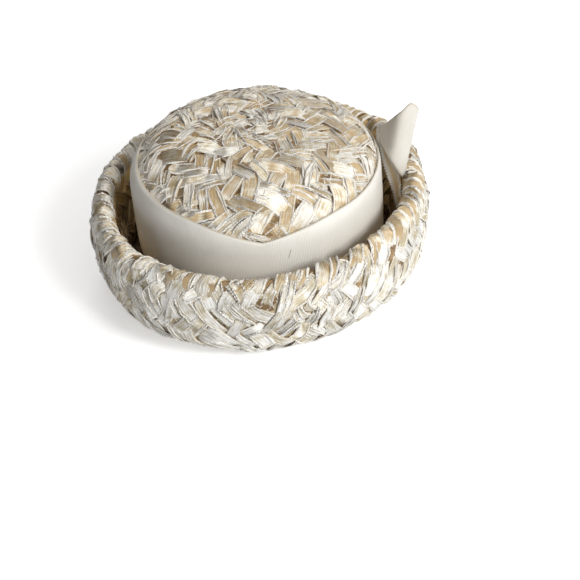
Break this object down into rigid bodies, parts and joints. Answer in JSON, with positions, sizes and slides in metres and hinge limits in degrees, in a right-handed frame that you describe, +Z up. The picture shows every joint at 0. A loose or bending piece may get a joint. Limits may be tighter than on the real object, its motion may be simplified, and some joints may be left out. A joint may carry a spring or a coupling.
{
  "type": "pillbox hat with rolled brim",
  "caption": "Small woven straw hat with a shallow domed crown, a thick turned-up double brim, a wide ribbon band and a ribbon bow at one side.",
  "frame": {"origin": "centre of the flat underside of the brim, which the hat stands on, on the middle line of the head opening", "axes": "+Z up through the crown, -Y towards the wearer's front, +X towards the wearer's left, where the bow is"},
  "size_m": [0.2399, 0.253, 0.1149],
  "materials": {
    "straw": "glossy woven straw strips, cream with tan between them",
    "ribbon": "matte cream grosgrain ribbon with fine upright ribs"
  },
  "bodies": {
    "root": {"crown": "straw", "brim": "straw", "band": "ribbon", "bow_knot": "ribbon", "bow_loop": "ribbon", "bow_tail": "ribbon"}
  },
  "joints": []
}
